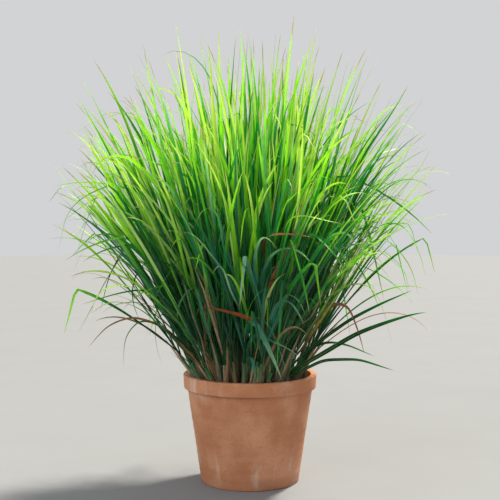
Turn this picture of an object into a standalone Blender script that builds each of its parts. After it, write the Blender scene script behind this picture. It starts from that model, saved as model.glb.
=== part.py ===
"""A lemongrass plant in a plain clay pot. Run it in Blender 4.5; it builds the pot, the soil and the plant.

The origin is the middle of the pot's underside, +Z is up, and the plant is seen from -Y.
"""

import math
import random
from dataclasses import dataclass

import bmesh
import bpy
from mathutils import Vector
from mathutils.bvhtree import BVHTree

GAP = 0.0003  # between two pieces that touch

POT_HEIGHT = 0.330
POT_TOP_RADIUS = 0.205
POT_FOOT_RADIUS = 0.150
POT_WALL = 0.012
POT_FLOOR = 0.016
RIM_HEIGHT = 0.042
RIM_STEP = 0.007
POT_SIDES = 48
EDGE_ROUNDING = 0.003
DRAIN_RADIUS = 0.009
DRAIN_REACH = 0.075
DRAIN_COUNT = 3

SOIL_LEVEL = 0.296
SOIL_MOUND = 0.012

TILLERS = 26
CLUMP_RADIUS = 0.150
GOLDEN_ANGLE = math.pi * (3 - math.sqrt(5))
STALK_DEPTH = 0.030
STALK_LENGTH = (0.205, 0.125)  # in the middle of the clump, and at its rim
STALK_RADIUS = (0.0095, 0.0058)  # at its foot, and at its top
STALK_SIDES = 8
STALK_RINGS = 5
LEAN = math.radians(18)
CORE_LENGTH = 0.090
CORE_TOP_RADIUS = 0.003

BLADES = 5
BLADE_LENGTH = (0.76, 0.84, 0.78, 0.68, 0.54)  # youngest to oldest
BLADE_WIDTH = (0.010, 0.014)
BLADE_THICKNESS = 0.0017
BLADE_FOLD = math.radians(20)
BLADE_RINGS = (0.0, 0.12, 0.32, 0.52, 0.71, 0.88)
PATH_STEPS = 50
MOST_TILT = math.radians(165)
CLEARANCE = 0.0012
MOST_REACH = 0.575  # from the middle of the pot, sideways
TRIES = 60
SEED = 11

DRY_LEAVES = 6
DRY_LENGTH = (0.34, 0.50)
DRY_WIDTH = 0.009
DRY_HEIGHT = (0.045, 0.110)


@dataclass
class Blade:
    """One leaf blade, as the way it leaves its stalk and bends."""

    start: Vector
    tilt: float  # from upright, where it starts
    turn: float  # compass direction that it leans to
    length: float
    droop: float  # bend per metre once it lies level, in radians
    sway: float  # drift sideways per metre, in radians
    twist: float  # over its whole length, in radians
    width: float


@dataclass
class Tiller:
    """One shoot: a stalk and the blades that fan out of its top."""

    foot: Vector
    tilt: float
    turn: float
    height: float
    blades: list


def between(ends, share):
    return ends[0] + (ends[1] - ends[0]) * share


def heading(tilt, turn):
    """The direction that leans from upright by tilt, towards the compass direction turn."""
    return Vector((math.sin(tilt) * math.cos(turn), math.sin(tilt) * math.sin(turn), math.cos(tilt)))


def tilt_and_turn(direction):
    return direction.angle(Vector((0, 0, 1))), math.atan2(direction.y, direction.x)


def soil_height(x, y):
    """The level of the mounded soil at a place in the pot."""
    share = min(1.0, math.hypot(x, y) / pot_inner_radius(SOIL_LEVEL))
    return SOIL_LEVEL + SOIL_MOUND * (1 - share * share)


def pot_outer_radius(z):
    return POT_FOOT_RADIUS + (POT_TOP_RADIUS - RIM_STEP - POT_FOOT_RADIUS) * z / POT_HEIGHT


def pot_inner_radius(z):
    return pot_outer_radius(z) - POT_WALL


def blade_path(blade):
    """Points along a blade, each with the tilt and turn that it has there."""
    point, tilt, turn = blade.start.copy(), blade.tilt, blade.turn
    step = blade.length / PATH_STEPS
    path = []
    for k in range(PATH_STEPS + 1):
        path.append((point.copy(), tilt, turn))
        point += heading(tilt, turn) * step
        tilt = min(MOST_TILT, tilt + blade.droop * math.sin(tilt) * (k / PATH_STEPS) ** 1.5 * step)
        turn += blade.sway * step
    return path


def reach(blade):
    return max(math.hypot(point.x, point.y) for point, _, _ in blade_path(blade))


def width_share(along):
    """A blade's width along its length: narrow at the stalk, widest at a third, then a long taper."""
    return (0.45 + 0.55 * min(1.0, along / 0.3) ** 0.8) * (1 - along) ** 0.6


def blade_rings(blade, spare=0.0):
    """Cross-sections of a blade, folded along its keel, and the point of its tip."""
    path = blade_path(blade)
    rings = []
    for along in BLADE_RINGS:
        point, tilt, turn = path[round(along * PATH_STEPS)]
        spin = blade.twist * along
        level, face = Vector((-math.sin(turn), math.cos(turn), 0)), heading(tilt - math.pi / 2, turn)
        across = level * math.cos(spin) + face * math.sin(spin)
        above = face * math.cos(spin) - level * math.sin(spin)
        half = blade.width * width_share(along) / 2 + spare
        rise = half * math.tan(BLADE_FOLD)
        thick = BLADE_THICKNESS / 2 + spare
        rings.append(
            [
                point - across * half + above * rise,
                point - above * thick,
                point + across * half + above * rise,
                point + above * thick,
            ]
        )
    return rings, path[-1][0]


def stalk_axis(tiller, below=STALK_DEPTH):
    """Points up the middle of a stalk, from below the soil to its top."""
    points = [tiller.foot - heading(tiller.tilt, tiller.turn) * below]
    step = (below + tiller.height) / (STALK_RINGS - 1)
    for _ in range(STALK_RINGS - 1):
        points.append(points[-1] + heading(tiller.tilt, tiller.turn) * step)
    return points


def ring_round(centre, direction, radius, sides, start=0.0):
    """A regular ring of points square to a direction. Its first point lies level."""
    level = Vector((-direction.y, direction.x, 0))
    level = level.normalized() if level.length > 1e-6 else Vector((0, 1, 0))
    other = direction.cross(level)
    return [
        centre + radius * (level * math.cos(turn) + other * math.sin(turn))
        for turn in (start + 2 * math.pi * k / sides for k in range(sides))
    ]


def loft(rings, tip=None):
    """A closed mesh through rings of equal count, ending in a point or a flat end. Gives (points, faces)."""
    points = [point for ring in rings for point in ring]
    count = len(rings[0])
    faces = [tuple(reversed(range(count)))]
    for low in range(0, len(points) - count, count):
        for k in range(count):
            after = (k + 1) % count
            faces.append((low + k, low + after, low + count + after, low + count + k))
    top = range(len(points) - count, len(points))
    if tip is None:
        faces.append(tuple(top))
    else:
        points.append(tip)
        faces += [(top[k], top[(k + 1) % count], len(points) - 1) for k in range(count)]
    return points, faces


def turned(profile, sides):
    """A solid of revolution. The profile runs from the axis, outwards and up, back to the axis."""
    rings = [
        [Vector((r * math.cos(turn), r * math.sin(turn), z)) for turn in angles(sides)]
        for r, z in profile[1:-1]
    ]
    points = [point for ring in rings for point in ring]
    points += [Vector((0, 0, profile[0][1])), Vector((0, 0, profile[-1][1]))]
    bottom, top, last = len(points) - 2, len(points) - 1, (len(rings) - 1) * sides
    faces = []
    for k in range(sides):
        after = (k + 1) % sides
        faces.append((bottom, after, k))
        faces.append((top, last + k, last + after))
        for low in range(0, last, sides):
            faces.append((low + k, low + after, low + sides + after, low + sides + k))
    return points, faces


def angles(sides):
    return [2 * math.pi * k / sides for k in range(sides)]


def bvh(shape):
    return BVHTree.FromPolygons(*shape)


def box_of(points):
    return [(min(p[k] for p in points), max(p[k] for p in points)) for k in range(3)]


def boxes_meet(one, other):
    return all(a[0] <= b[1] and b[0] <= a[1] for a, b in zip(one, other))


class Room:
    """What already stands in the way of the next blade."""

    def __init__(self):
        self.taken = []

    def add(self, shape, owner):
        self.taken.append((box_of(shape[0]), bvh(shape), owner))

    def free(self, shape, owner):
        box, tree = box_of(shape[0]), bvh(shape)
        return not any(
            other_owner != owner and boxes_meet(box, other_box) and tree.overlap(other)
            for other_box, other, other_owner in self.taken
        )


def stalk_radius(share):
    return between(STALK_RADIUS, share**0.7)


def stalk_shape(tiller, spare=0.0, below=STALK_DEPTH, above=0.0):
    """The stalk as (points, faces). A spare radius, depth and height make its socket."""
    direction = heading(tiller.tilt, tiller.turn)
    axis = stalk_axis(tiller, below)
    axis[-1] = axis[-1] + direction * above
    last = len(axis) - 1
    rings = []
    for k, centre in enumerate(axis):
        radius = stalk_radius(k / last) + spare
        rings.append(ring_round(centre, direction, radius, STALK_SIDES))
    return loft(rings)


def core_shape(tiller):
    """The rolled heart of the blades, which carries on from the stalk's top."""
    direction = heading(tiller.tilt, tiller.turn)
    low = tiller.foot + direction * (tiller.height + GAP)
    high = low + direction * CORE_LENGTH
    return loft(
        [
            ring_round(low, direction, STALK_RADIUS[1], STALK_SIDES),
            ring_round(high, direction, CORE_TOP_RADIUS, STALK_SIDES),
        ]
    )


def new_blade(tiller, order, fan_turn, outward, chance):
    """A blade of a tiller's fan. Order 0 is the youngest, in the middle, and later ones lean out more."""
    axis = heading(tiller.tilt, tiller.turn)
    side_turn = fan_turn + math.pi * (order % 2) + chance.uniform(-0.6, 0.6)
    side = Vector((math.cos(side_turn), math.sin(side_turn), 0))
    side = (side - axis * side.dot(axis)).normalized()
    spread = math.radians(2.5 + 4.5 * order + chance.uniform(-1.5, 2.5))
    tilt, turn = tilt_and_turn(axis * math.cos(spread) + side * math.sin(spread))
    height = tiller.height + CORE_LENGTH * (0.80 - 0.17 * order)
    return Blade(
        start=tiller.foot + axis * height,
        tilt=tilt,
        turn=turn,
        length=BLADE_LENGTH[order] * chance.uniform(0.86, 1.08),
        droop=(0.8 + 1.1 * order + 0.8 * outward) * chance.uniform(0.7, 1.4),
        sway=chance.uniform(-0.5, 0.5),
        twist=chance.uniform(-1.3, 1.3),
        width=chance.uniform(*BLADE_WIDTH),
    )


def plan_tillers():
    """Where each tiller stands and leans, from the middle of the clump outwards on a spiral."""
    chance = random.Random(SEED)
    tillers = []
    for k in range(TILLERS):
        outward = math.sqrt((k + 0.5) / TILLERS)
        around = k * GOLDEN_ANGLE
        foot = Vector((math.cos(around), math.sin(around), 0)) * CLUMP_RADIUS * outward
        foot.z = soil_height(foot.x, foot.y)
        tillers.append(
            Tiller(
                foot=foot,
                tilt=LEAN * (0.1 + 0.9 * outward) * chance.uniform(0.8, 1.15),
                turn=around + chance.uniform(-0.35, 0.35),
                height=between(STALK_LENGTH, outward) * chance.uniform(0.88, 1.12),
                blades=[],
            )
        )
    return tillers


def dry_leaf_of(tiller, chance):
    """An old blade that leaves the outside of a stalk low down, and hangs over the pot's rim."""
    direction = heading(tiller.tilt, tiller.turn)
    up = chance.uniform(*DRY_HEIGHT)
    radius = stalk_radius((STALK_DEPTH + up) / (STALK_DEPTH + tiller.height))
    outside = heading(tiller.tilt + math.pi / 2, tiller.turn)
    leaf = Blade(
        start=tiller.foot + direction * up + outside * (radius + GAP),
        tilt=tiller.tilt + math.radians(chance.uniform(22, 34)),
        turn=tiller.turn,
        length=chance.uniform(*DRY_LENGTH),
        droop=chance.uniform(9.0, 12.0),
        sway=chance.uniform(-0.8, 0.8),
        twist=chance.uniform(-1.5, 1.5),
        width=DRY_WIDTH,
    )
    leaf.start += outside * max((leaf.start - point).dot(outside) for point in blade_rings(leaf)[0][0])
    return leaf


def grow_plant(obstacles):
    """Every tiller with its blades, and the dry leaves, placed so that no two pieces overlap."""
    chance = random.Random(SEED + 1)
    tillers = plan_tillers()
    room = Room()
    for shape in obstacles:
        room.add(shape, None)
    for tiller in tillers:
        room.add(stalk_shape(tiller, CLEARANCE), id(tiller))
        room.add(core_shape(tiller), id(tiller))
    dry_leaves = []
    for tiller in tillers[-DRY_LEAVES:]:
        for _ in range(TRIES):
            leaf = dry_leaf_of(tiller, chance)
            if room.free(loft(*blade_rings(leaf, CLEARANCE)), id(tiller)):
                break
        room.add(loft(*blade_rings(leaf)), "dry")
        dry_leaves.append(leaf)
    for tiller in tillers:
        outward = math.hypot(tiller.foot.x, tiller.foot.y) / CLUMP_RADIUS
        fan_turn = chance.uniform(0, 2 * math.pi)
        for order in range(BLADES):
            for _ in range(TRIES):
                blade = new_blade(tiller, order, fan_turn, outward, chance)
                if reach(blade) < MOST_REACH and room.free(loft(*blade_rings(blade, CLEARANCE)), id(tiller)):
                    tiller.blades.append(blade)
                    room.add(loft(*blade_rings(blade)), id(tiller))
                    break
    return tillers, dry_leaves


def clear_scene():
    for thing in list(bpy.data.objects):
        bpy.data.objects.remove(thing)


def material(name, colour, roughness):
    made = bpy.data.materials.new(name)
    made.use_nodes = True
    shader = made.node_tree.nodes["Principled BSDF"]
    shader.inputs["Base Color"].default_value = (*colour, 1)
    shader.inputs["Roughness"].default_value = roughness
    shader.inputs["Metallic"].default_value = 0
    made.diffuse_color = (*colour, 1)
    return made


def add_object(name, shape, finish, smooth=True):
    """A mesh object in the scene from (points, faces), with its faces turned outwards."""
    mesh = bpy.data.meshes.new(name)
    points, faces = shape
    mesh.from_pydata([tuple(p) for p in points], [], faces)
    built = bmesh.new()
    built.from_mesh(mesh)
    bmesh.ops.recalc_face_normals(built, faces=built.faces)
    for face in built.faces:
        face.smooth = smooth
    built.to_mesh(mesh)
    built.free()
    mesh.materials.append(finish)
    thing = bpy.data.objects.new(name, mesh)
    bpy.context.scene.collection.objects.link(thing)
    return thing


def as_helper(thing):
    thing.hide_render = True
    thing.display_type = "WIRE"
    return thing


def joined(shapes):
    """Several (points, faces) as one."""
    points, faces = [], []
    for more_points, more_faces in shapes:
        faces += [tuple(index + len(points) for index in face) for face in more_faces]
        points += more_points
    return points, faces


def boolean(thing, other, operation, crossing=False):
    modifier = thing.modifiers.new(operation.lower(), "BOOLEAN")
    modifier.object = other
    modifier.operation = operation
    modifier.solver = "EXACT"
    modifier.use_self = crossing


def pot_shape():
    rim_low = POT_HEIGHT - RIM_HEIGHT
    return turned(
        [
            (0, 0),
            (POT_FOOT_RADIUS, 0),
            (pot_outer_radius(rim_low), rim_low),
            (POT_TOP_RADIUS - 0.002, rim_low),
            (POT_TOP_RADIUS, POT_HEIGHT),
            (pot_inner_radius(POT_HEIGHT), POT_HEIGHT),
            (pot_inner_radius(POT_FLOOR), POT_FLOOR),
            (0, POT_FLOOR),
        ],
        POT_SIDES,
    )


def build_pot(shape):
    clay = material("clay", (0.55, 0.24, 0.13), 0.85)
    pot = add_object("pot", shape, clay)
    rounding = pot.modifiers.new("rounding", "BEVEL")
    rounding.width = EDGE_ROUNDING
    rounding.segments = 2
    rounding.limit_method = "ANGLE"
    rounding.angle_limit = math.radians(40)
    drains = []
    for turn in angles(DRAIN_COUNT):
        centre = Vector((DRAIN_REACH * math.cos(turn), DRAIN_REACH * math.sin(turn), 0))
        up = Vector((0, 0, 1))
        ends = [centre - up * POT_FLOOR, centre + up * 2 * POT_FLOOR]
        drains.append(loft([ring_round(end, up, DRAIN_RADIUS, 16) for end in ends]))
    boolean(pot, as_helper(add_object("drain_cutters", joined(drains), clay)), "DIFFERENCE")


def soil_shape():
    rings = (0.35, 0.7, 1.0)
    edge = pot_inner_radius(SOIL_LEVEL) - GAP
    low = POT_FLOOR + GAP
    corner = 1.5 * EDGE_ROUNDING
    profile = [
        (0, low),
        (pot_inner_radius(low) - corner, low),
        (pot_inner_radius(low + corner) - GAP, low + corner),
    ]
    for share in reversed(rings):
        profile.append((edge * share, soil_height(edge * share, 0)))
    return turned(profile + [(0, soil_height(0, 0))], POT_SIDES)


def build_soil(shape, tillers):
    earth = material("potting_soil", (0.055, 0.036, 0.024), 0.95)
    soil = add_object("soil", shape, earth)
    sockets = [stalk_shape(tiller, GAP, STALK_DEPTH + GAP) for tiller in tillers]
    boolean(soil, as_helper(add_object("socket_cutters", joined(sockets), earth)), "DIFFERENCE")


def build_tillers(tillers):
    sheath = material("stalk_sheath", (0.36, 0.42, 0.16), 0.55)
    green = material("green_blade", (0.13, 0.36, 0.05), 0.45)
    for number, tiller in enumerate(tillers, 1):
        add_object(f"stalk_{number:02d}", stalk_shape(tiller), sheath)
        blades = joined([loft(*blade_rings(blade)) for blade in tiller.blades])
        fan = add_object(f"leaves_{number:02d}", blades, green, smooth=False)
        heart = as_helper(add_object(f"heart_{number:02d}", core_shape(tiller), green))
        boolean(fan, heart, "UNION", crossing=True)


def build_dry_leaves(leaves):
    straw = material("dry_blade", (0.48, 0.26, 0.10), 0.75)
    for number, leaf in enumerate(leaves, 1):
        add_object(f"dry_leaf_{number}", loft(*blade_rings(leaf)), straw, smooth=False)


def main():
    clear_scene()
    pot, soil = pot_shape(), soil_shape()
    tillers, dry_leaves = grow_plant([pot])
    build_pot(pot)
    build_soil(soil, tillers)
    build_tillers(tillers)
    build_dry_leaves(dry_leaves)


main()
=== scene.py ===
"""The looks of a clump of lemongrass in a clay pot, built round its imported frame.

The file is laid out as an add-on: a panel in the 3D view's sidebar holds the sizes and colours, and one
operator makes each kind of piece. Run as a script, it makes them all in order. Lengths are in metres and
angles in radians, unless a comment says otherwise.
"""

import math
import random
from dataclasses import dataclass, field
from functools import lru_cache

import bmesh
import bpy
import numpy as np
from mathutils import Matrix, Quaternion, Vector, noise
from mathutils.kdtree import KDTree


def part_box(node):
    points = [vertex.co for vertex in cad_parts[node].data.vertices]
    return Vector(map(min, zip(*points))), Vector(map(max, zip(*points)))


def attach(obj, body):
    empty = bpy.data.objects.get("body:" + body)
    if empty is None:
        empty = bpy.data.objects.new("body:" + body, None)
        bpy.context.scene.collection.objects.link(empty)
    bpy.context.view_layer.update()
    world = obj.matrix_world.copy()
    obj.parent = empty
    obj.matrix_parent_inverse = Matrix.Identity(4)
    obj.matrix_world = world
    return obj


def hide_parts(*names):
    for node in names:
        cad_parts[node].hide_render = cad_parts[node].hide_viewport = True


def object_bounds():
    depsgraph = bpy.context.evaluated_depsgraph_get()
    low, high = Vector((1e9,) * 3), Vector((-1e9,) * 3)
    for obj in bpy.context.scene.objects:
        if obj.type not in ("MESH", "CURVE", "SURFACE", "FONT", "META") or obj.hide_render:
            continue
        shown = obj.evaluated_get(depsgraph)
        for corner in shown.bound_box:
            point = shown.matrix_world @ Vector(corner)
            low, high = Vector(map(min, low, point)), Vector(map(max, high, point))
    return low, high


bl_info = {
    "name": "Potted lemongrass",
    "version": (1, 0, 0),
    "blender": (4, 5, 0),
    "location": "3D View > Sidebar > Lemongrass",
    "description": "Builds a clump of lemongrass in a clay pot, from its frame",
    "category": "Add Mesh",
}

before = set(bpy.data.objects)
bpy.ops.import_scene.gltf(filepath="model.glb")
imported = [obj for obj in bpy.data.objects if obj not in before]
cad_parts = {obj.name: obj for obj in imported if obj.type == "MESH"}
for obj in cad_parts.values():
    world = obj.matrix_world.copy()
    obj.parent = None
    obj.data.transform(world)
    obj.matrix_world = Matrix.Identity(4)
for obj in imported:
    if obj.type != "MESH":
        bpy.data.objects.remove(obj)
CAD_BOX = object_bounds()
UP = Vector((0, 0, 1))

# The pot and its soil, as the frame has them.
GAP = 0.0003  # between two pieces that touch
POT_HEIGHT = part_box("pot")[1].z
POT_TOP_RADIUS = 0.205
POT_FOOT_RADIUS = 0.150
POT_WALL = 0.012
POT_FLOOR = 0.016
RIM_HEIGHT = 0.042
RIM_STEP = 0.007
DRAIN_RADIUS = 0.009
DRAIN_REACH = 0.075
DRAIN_COUNT = 3
SOIL_LEVEL = 0.296
SOIL_MOUND = 0.012

# The growth of the tillers and their blades, as the frame has them.
TILLERS = sum(node.startswith("stalk_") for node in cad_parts)
DRY_LEAVES = sum(node.startswith("dry_leaf_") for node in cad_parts)
CLUMP_RADIUS = 0.150
GOLDEN_ANGLE = math.pi * (3 - math.sqrt(5))
LEAN = math.radians(18)
STALK_DEPTH = 0.030
STALK_LENGTH = (0.205, 0.125)  # in the middle of the clump, and at its rim
STALK_RADIUS = (0.0095, 0.0058)  # at its foot, and at its top
HEART_LENGTH = 0.090
HEART_TOP_RADIUS = 0.003
BLADES = 5
BLADE_LENGTH = (0.76, 0.84, 0.78, 0.68, 0.54)  # youngest to oldest
BLADE_WIDTH = (0.010, 0.014)
FRAME_BLADE_THICKNESS = 0.0017
FRAME_BLADE_FOLD = math.radians(20)
FRAME_BLADE_FOOT = 0.45  # a blade's width at its foot, beside its greatest
DRY_LENGTH = (0.34, 0.50)
DRY_WIDTH = 0.009
DRY_HEIGHT = (0.045, 0.110)
PATH_STEPS = 50
MOST_TILT = math.radians(165)
TRIES = 60
SEED = 11  # each kind of piece draws from a random series of its own, numbered from this one

# What the looks add to it.
OUTGROWTH = 0.025  # how far an added blade may reach beyond the frame's box, sideways
POT_CLEARANCE = 0.012  # from the pot's rim to an added blade that hangs past it
SHOOT_DISTANCE = (0.013, 0.027)  # from a tiller's foot to that of an offshoot
SHOOT_REACH = 0.172  # the furthest that an offshoot stands from the middle
FOOT_DEPTH = 0.006  # how far inside its stalk a blade begins
CURL_FROM = 0.70  # share of a blade's length where its tip begins to curl
RING_EVERY = 2  # steps of a path from one ring of a blade to the next
STALK_SIDES = 16
STALK_RINGS = 20
SHEATH_EDGE = 0.09  # how far a sheath's edge stands out, as a share of the stalk's radius
SHEATH_WINDING = 0.35  # turns that it winds round the stalk
COLLAR_SLANT = 0.06  # how far a collar slants to either side, as a share of the stalk's height
COLLAR_STEP = 0.045  # how much thinner the stalk is above a collar
COLLAR_HEIGHTS = ((0.45, 0.6), (0.75, 0.9))  # shares of the stalk's height
STALK_SWELLING = 0.28  # how much thicker the stalk is at its swollen foot
HEART_SIDES = 8
HEART_RINGS = 7
HEART_GIRTH = 0.9  # the heart's foot beside the stalk's top
HUSK_COUNTS = (0, 0, 1, 1, 2)  # loose husks on a stalk, each count as likely as the next
HUSK_LENGTH = (0.07, 0.24)
HUSK_WIDTH = (0.005, 0.010)
POT_SIDES = 120
POT_EVEN_FOOT = 0.004  # the pot keeps its true form up to here
POT_STEP = 0.008  # the longest straight stretch of its outline
RIM_TAPER = 0.002  # how much narrower the rim band is at its lower edge
SOIL_SIDES = 160
SOIL_ROWS = 46
SOIL_BUMPS = ((0.004, 28), (0.0022, 90), (0.0012, 240))  # each as a height and how close together
LITTER_REACH = (0.176, 0.181)  # from the middle to a bit of litter's middle, and to its furthest point
LITTER_RINGS = 9
LITTER_LENGTH = (0.015, 0.055)
LITTER_WIDTH = (0.0025, 0.006)
LITTER_LIFT = (0.0035, 0.002)  # how high it lies above the even soil, and how far it waves
CRUMB_SIZE = (0.0012, 0.0042)
LARGE_CRUMBS = (0.12, 1.6)  # their share, and how much larger they are
SHADES = 7.13  # the lightness of a blade is the fraction of this times its seed; it partly paints darker blades as shaded and lighter ones as sunlit
EYE_DISTANCE = 3.30  # where the bent blades are meant to be seen from, and the camera stands
EYE_HEIGHT = 0.86


@dataclass
class Blade:
    """One leaf blade, as the way it leaves its stalk and bends."""

    start: Vector
    tilt: float  # from upright, where it starts
    turn: float  # compass direction that it leans to
    length: float
    droop: float  # bend per metre once it lies level
    sway: float  # drift sideways per metre
    twist: float  # over its whole length
    width: float
    kink_at: float = 2.0  # share of its length where it is creased, and over 1 for no crease
    kink: float = 0.0  # the crease's angle
    curl: float = 0.0  # extra bend per metre towards its tip
    dry: float = 0.0  # 0 green to 1 dry


@dataclass
class Tiller:
    """One shoot: a stalk and the blades that fan out of its top."""

    foot: Vector
    tilt: float
    turn: float
    height: float
    girth: float = 1.0
    blades: list = field(default_factory=list)

    def outward(self):
        """How far out it stands: 0 in the middle of the clump and about 1 at its rim."""
        return math.hypot(self.foot.x, self.foot.y) / CLUMP_RADIUS

    def direction(self):
        """The direction up its stalk."""
        return heading(self.tilt, self.turn)


# The growth plan. It repeats the frame's, draw for draw.


def between(ends, share):
    return ends[0] + (ends[1] - ends[0]) * share


def level_direction(turn):
    return Vector((math.cos(turn), math.sin(turn), 0))


def heading(tilt, turn):
    """The direction that leans from upright by tilt, towards the compass direction turn."""
    return Vector((math.sin(tilt) * math.cos(turn), math.sin(tilt) * math.sin(turn), math.cos(tilt)))


def tilt_and_turn(direction):
    return direction.angle(UP), math.atan2(direction.y, direction.x)


def pot_outer_radius(z):
    return POT_FOOT_RADIUS + (POT_TOP_RADIUS - RIM_STEP - POT_FOOT_RADIUS) * z / POT_HEIGHT


def pot_inner_radius(z):
    return pot_outer_radius(z) - POT_WALL


def soil_height(x, y):
    """The level of the mounded soil at a place in the pot."""
    share = min(1.0, math.hypot(x, y) / pot_inner_radius(SOIL_LEVEL))
    return SOIL_LEVEL + SOIL_MOUND * (1 - share * share)


def stalk_radius(share):
    return between(STALK_RADIUS, share**0.7)


def blade_path(blade):
    """Points along a blade, each with the tilt and turn that it has there."""
    point, tilt, turn = blade.start.copy(), blade.tilt, blade.turn
    step = blade.length / PATH_STEPS
    path = []
    for k in range(PATH_STEPS + 1):
        path.append((point.copy(), tilt, turn))
        point += heading(tilt, turn) * step
        tilt += blade.droop * math.sin(tilt) * (k / PATH_STEPS) ** 1.5 * step
        tilt += blade.curl * max(0.0, k / PATH_STEPS - CURL_FROM) * step
        if 0 <= k - blade.kink_at * PATH_STEPS < 2:
            tilt += blade.kink / 2
        tilt = min(MOST_TILT, tilt)
        turn += blade.sway * step
    return path


def new_blade(tiller, order, fan_turn, chance):
    """A blade of a tiller's fan. Order 0 is the youngest, in the middle, and later ones lean out more."""
    axis = tiller.direction()
    side = level_direction(fan_turn + math.pi * (order % 2) + chance.uniform(-0.6, 0.6))
    side = (side - axis * side.dot(axis)).normalized()
    spread = math.radians(2.5 + 4.5 * order + chance.uniform(-1.5, 2.5))
    tilt, turn = tilt_and_turn(axis * math.cos(spread) + side * math.sin(spread))
    height = tiller.height + HEART_LENGTH * (0.80 - 0.17 * order)
    return Blade(
        start=tiller.foot + axis * height,
        tilt=tilt,
        turn=turn,
        length=BLADE_LENGTH[order] * chance.uniform(0.86, 1.08),
        droop=(0.8 + 1.1 * order + 0.8 * tiller.outward()) * chance.uniform(0.7, 1.4),
        sway=chance.uniform(-0.5, 0.5),
        twist=chance.uniform(-1.3, 1.3),
        width=chance.uniform(*BLADE_WIDTH),
    )


def plan_tillers():
    """Where each tiller stands and leans, from the middle of the clump outwards on a spiral."""
    chance = random.Random(SEED)
    tillers = []
    for k in range(TILLERS):
        outward = math.sqrt((k + 0.5) / TILLERS)
        around = k * GOLDEN_ANGLE
        foot = level_direction(around) * CLUMP_RADIUS * outward
        foot.z = soil_height(foot.x, foot.y)
        tillers.append(
            Tiller(
                foot=foot,
                tilt=LEAN * (0.1 + 0.9 * outward) * chance.uniform(0.8, 1.15),
                turn=around + chance.uniform(-0.35, 0.35),
                height=between(STALK_LENGTH, outward) * chance.uniform(0.88, 1.12),
            )
        )
    return tillers


def dry_leaf_of(tiller, chance):
    """An old blade that leaves the outside of a stalk low down, and hangs over the pot's rim."""
    up = chance.uniform(*DRY_HEIGHT)
    radius = stalk_radius((STALK_DEPTH + up) / (STALK_DEPTH + tiller.height))
    outside = heading(tiller.tilt + math.pi / 2, tiller.turn)
    leaf = Blade(
        start=tiller.foot + tiller.direction() * up + outside * (radius + GAP),
        tilt=tiller.tilt + math.radians(chance.uniform(22, 34)),
        turn=tiller.turn,
        length=chance.uniform(*DRY_LENGTH),
        droop=chance.uniform(9.0, 12.0),
        sway=chance.uniform(-0.8, 0.8),
        twist=chance.uniform(-1.5, 1.5),
        width=DRY_WIDTH,
        dry=1.0,
    )
    foot_half_width = leaf.width * FRAME_BLADE_FOOT / 2
    inward = heading(leaf.tilt - math.pi / 2, leaf.turn)
    reach = max(FRAME_BLADE_THICKNESS / 2, foot_half_width * math.tan(FRAME_BLADE_FOLD))
    leaf.start -= outside * min(0.0, inward.dot(outside) * reach)
    return leaf


def corner_tree(node):
    """The corners of a node of the frame, to search by place."""
    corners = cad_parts[node].data.vertices
    tree = KDTree(len(corners))
    for number, corner in enumerate(corners):
        tree.insert(corner.co, number)
    tree.balance()
    return tree


def first_held(node, make, *details):
    """The first of the tries at a blade that the frame's node holds, or None where none found room."""
    corners = corner_tree(node)
    for _ in range(TRIES):
        blade = make(*details)
        tip = blade_path(blade)[-1][0]
        if corners.find(tip)[2] < 2 * GAP:
            return blade
    return None


def frame_growth():
    """Every tiller with its blades, and the dry leaves, as the frame has them."""
    chance = random.Random(SEED + 1)
    tillers = plan_tillers()
    dry_leaves = [
        first_held(f"dry_leaf_{number}", dry_leaf_of, tiller, chance)
        for number, tiller in enumerate(tillers[-DRY_LEAVES:], 1)
    ]
    for number, tiller in enumerate(tillers, 1):
        fan_turn = chance.uniform(0, 2 * math.pi)
        for order in range(BLADES):
            blade = first_held(f"leaves_{number:02d}", new_blade, tiller, order, fan_turn, chance)
            if blade:
                tiller.blades.append(blade)
    if None in dry_leaves or not all(tiller.blades for tiller in tillers):
        raise RuntimeError("the growth plan doesn't match the frame")
    return tillers, dry_leaves


# What the looks add to the growth: offshoots round each tiller, and more blades.


def fits(blade):
    """True for a blade that stays in the room that the plant has, clear of the soil and the pot."""
    low, high = CAD_BOX
    for point, _, _ in blade_path(blade):
        if not (low.x - OUTGROWTH < point.x < high.x + OUTGROWTH and point.z < high.z):
            return False
        if not low.y - OUTGROWTH < point.y < high.y + OUTGROWTH:
            return False
        if point.z < SOIL_LEVEL - 0.01 and math.hypot(point.x, point.y) < POT_TOP_RADIUS + POT_CLEARANCE:
            return False
    return True


def extra_blade(tiller, order, fan_turn, size, chance):
    """A blade that the frame doesn't hold, a little smaller than those that it does."""
    airy = max(0.0, math.cos(tiller.turn)) * tiller.outward()  # the side towards +X is the loose one
    for attempt in range(TRIES):
        blade = new_blade(tiller, order, fan_turn, chance)
        shorter = 1 - 0.6 * attempt / TRIES
        blade.length *= size * chance.uniform(0.85, 1.05) * shorter
        blade.width *= (0.60 + 0.4 * size * chance.random()) * (1 - 0.3 * airy)
        blade.droop *= 1 + 0.8 * airy * chance.random()
        blade.sway *= 2
        if chance.random() < 0.35:
            blade.curl = chance.uniform(-35, 70)
        if order > 0 and chance.random() < 0.12 + 0.14 * airy:
            blade.kink_at = chance.uniform(0.45, 0.85)
            blade.kink = chance.uniform(0.7, 2.1)
        if order > 2 and chance.random() < 0.08:
            blade.dry = chance.uniform(0.5, 1.0)
            blade.length *= 0.7
            blade.width *= 0.7
        if fits(blade):
            return blade
    raise RuntimeError("no room for another blade")


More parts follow.
